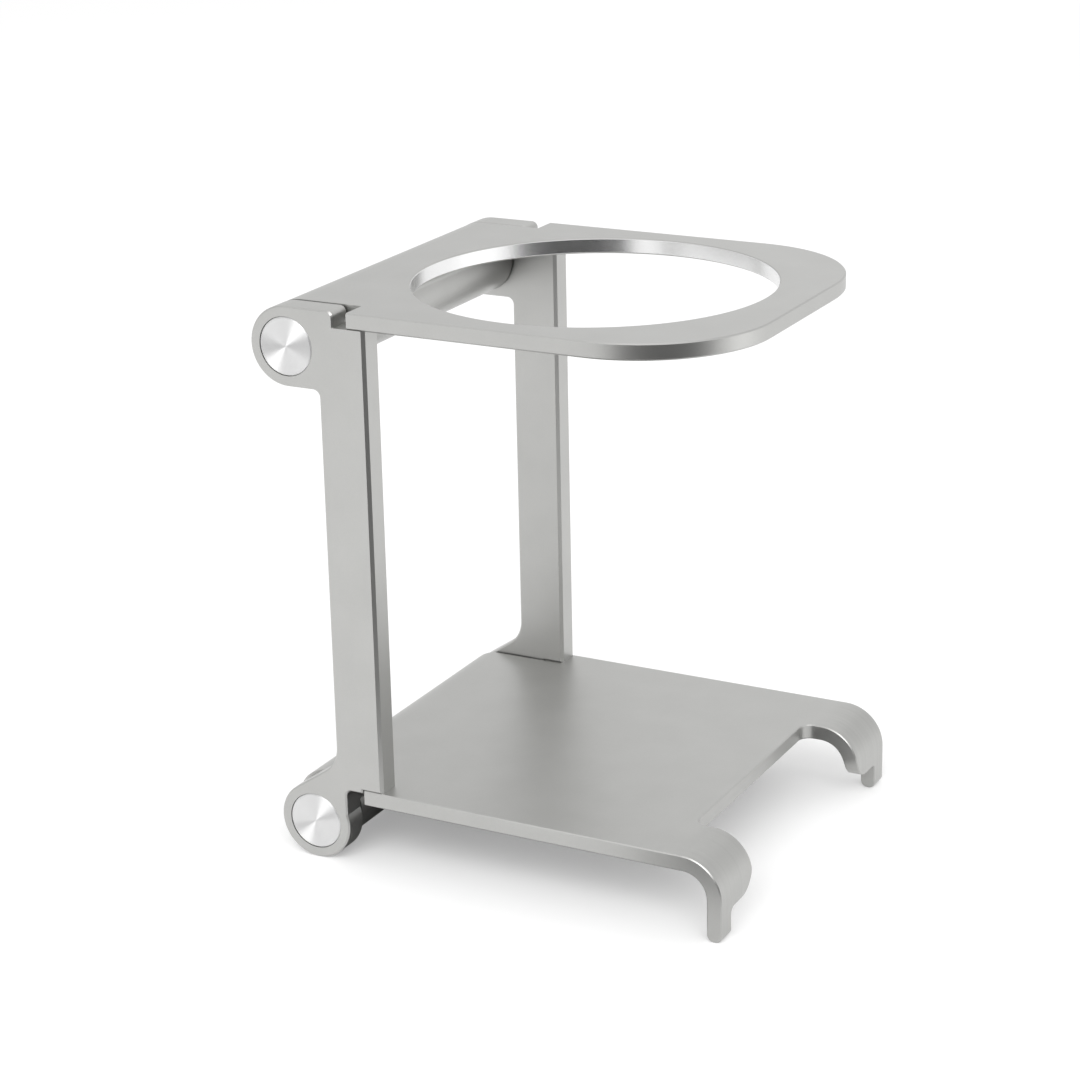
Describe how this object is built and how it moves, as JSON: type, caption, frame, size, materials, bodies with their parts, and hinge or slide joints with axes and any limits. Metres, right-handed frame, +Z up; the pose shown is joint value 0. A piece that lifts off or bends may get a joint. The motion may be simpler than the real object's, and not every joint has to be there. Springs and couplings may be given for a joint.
{
  "type": "pour over dripper stand",
  "caption": "Folding stand with a top plate that holds a coffee dripper over a cup, two flat uprights and a footed base plate.",
  "frame": {"origin": "on the floor, below the middle of the stand's box", "axes": "+X across the stand along the hinge axes, -Y to the front where the dripper sits, +Z up"},
  "size_m": [0.08, 0.095, 0.11],
  "materials": {
    "blasted_aluminium": "bead blasted and clear anodised, fine matt grain",
    "turned_aluminium": "bright turned face with fine rings",
    "screw_steel": "plain stainless steel",
    "spring_steel": "plain spring steel",
    "washer_plastic": "smooth sliding plastic"
  },
  "bodies": {
    "uprights": {"left_upright": "blasted_aluminium", "right_upright": "blasted_aluminium", "hinge_cover_upper_left": "turned_aluminium", "spring_washer_upper_left": "spring_steel", "thrust_washer_upper_left": "washer_plastic", "hinge_cover_lower_left": "turned_aluminium", "spring_washer_lower_left": "spring_steel", "thrust_washer_lower_left": "washer_plastic", "hinge_cover_upper_right": "turned_aluminium", "spring_washer_upper_right": "spring_steel", "thrust_washer_upper_right": "washer_plastic", "hinge_cover_lower_right": "turned_aluminium", "spring_washer_lower_right": "spring_steel", "thrust_washer_lower_right": "washer_plastic"},
    "top_shelf": {"top_plate": "blasted_aluminium", "pivot_screw_upper_left": "screw_steel", "pivot_screw_upper_right": "screw_steel"},
    "base_shelf": {"base_plate": "blasted_aluminium", "pivot_screw_lower_left": "screw_steel", "pivot_screw_lower_right": "screw_steel"}
  },
  "joints": [
    {"name": "top_plate_fold", "type": "hinge", "parent": "uprights", "child": "top_shelf", "pos_m": [0, 0.0399, 0.1024], "axis": [-1, 0, 0], "range_deg": [0, 266]},
    {"name": "base_plate_fold", "type": "hinge", "parent": "uprights", "child": "base_shelf", "pos_m": [0, 0.0385, 0.0076], "axis": [1, 0, 0], "range_deg": [0, 268]}
  ]
}
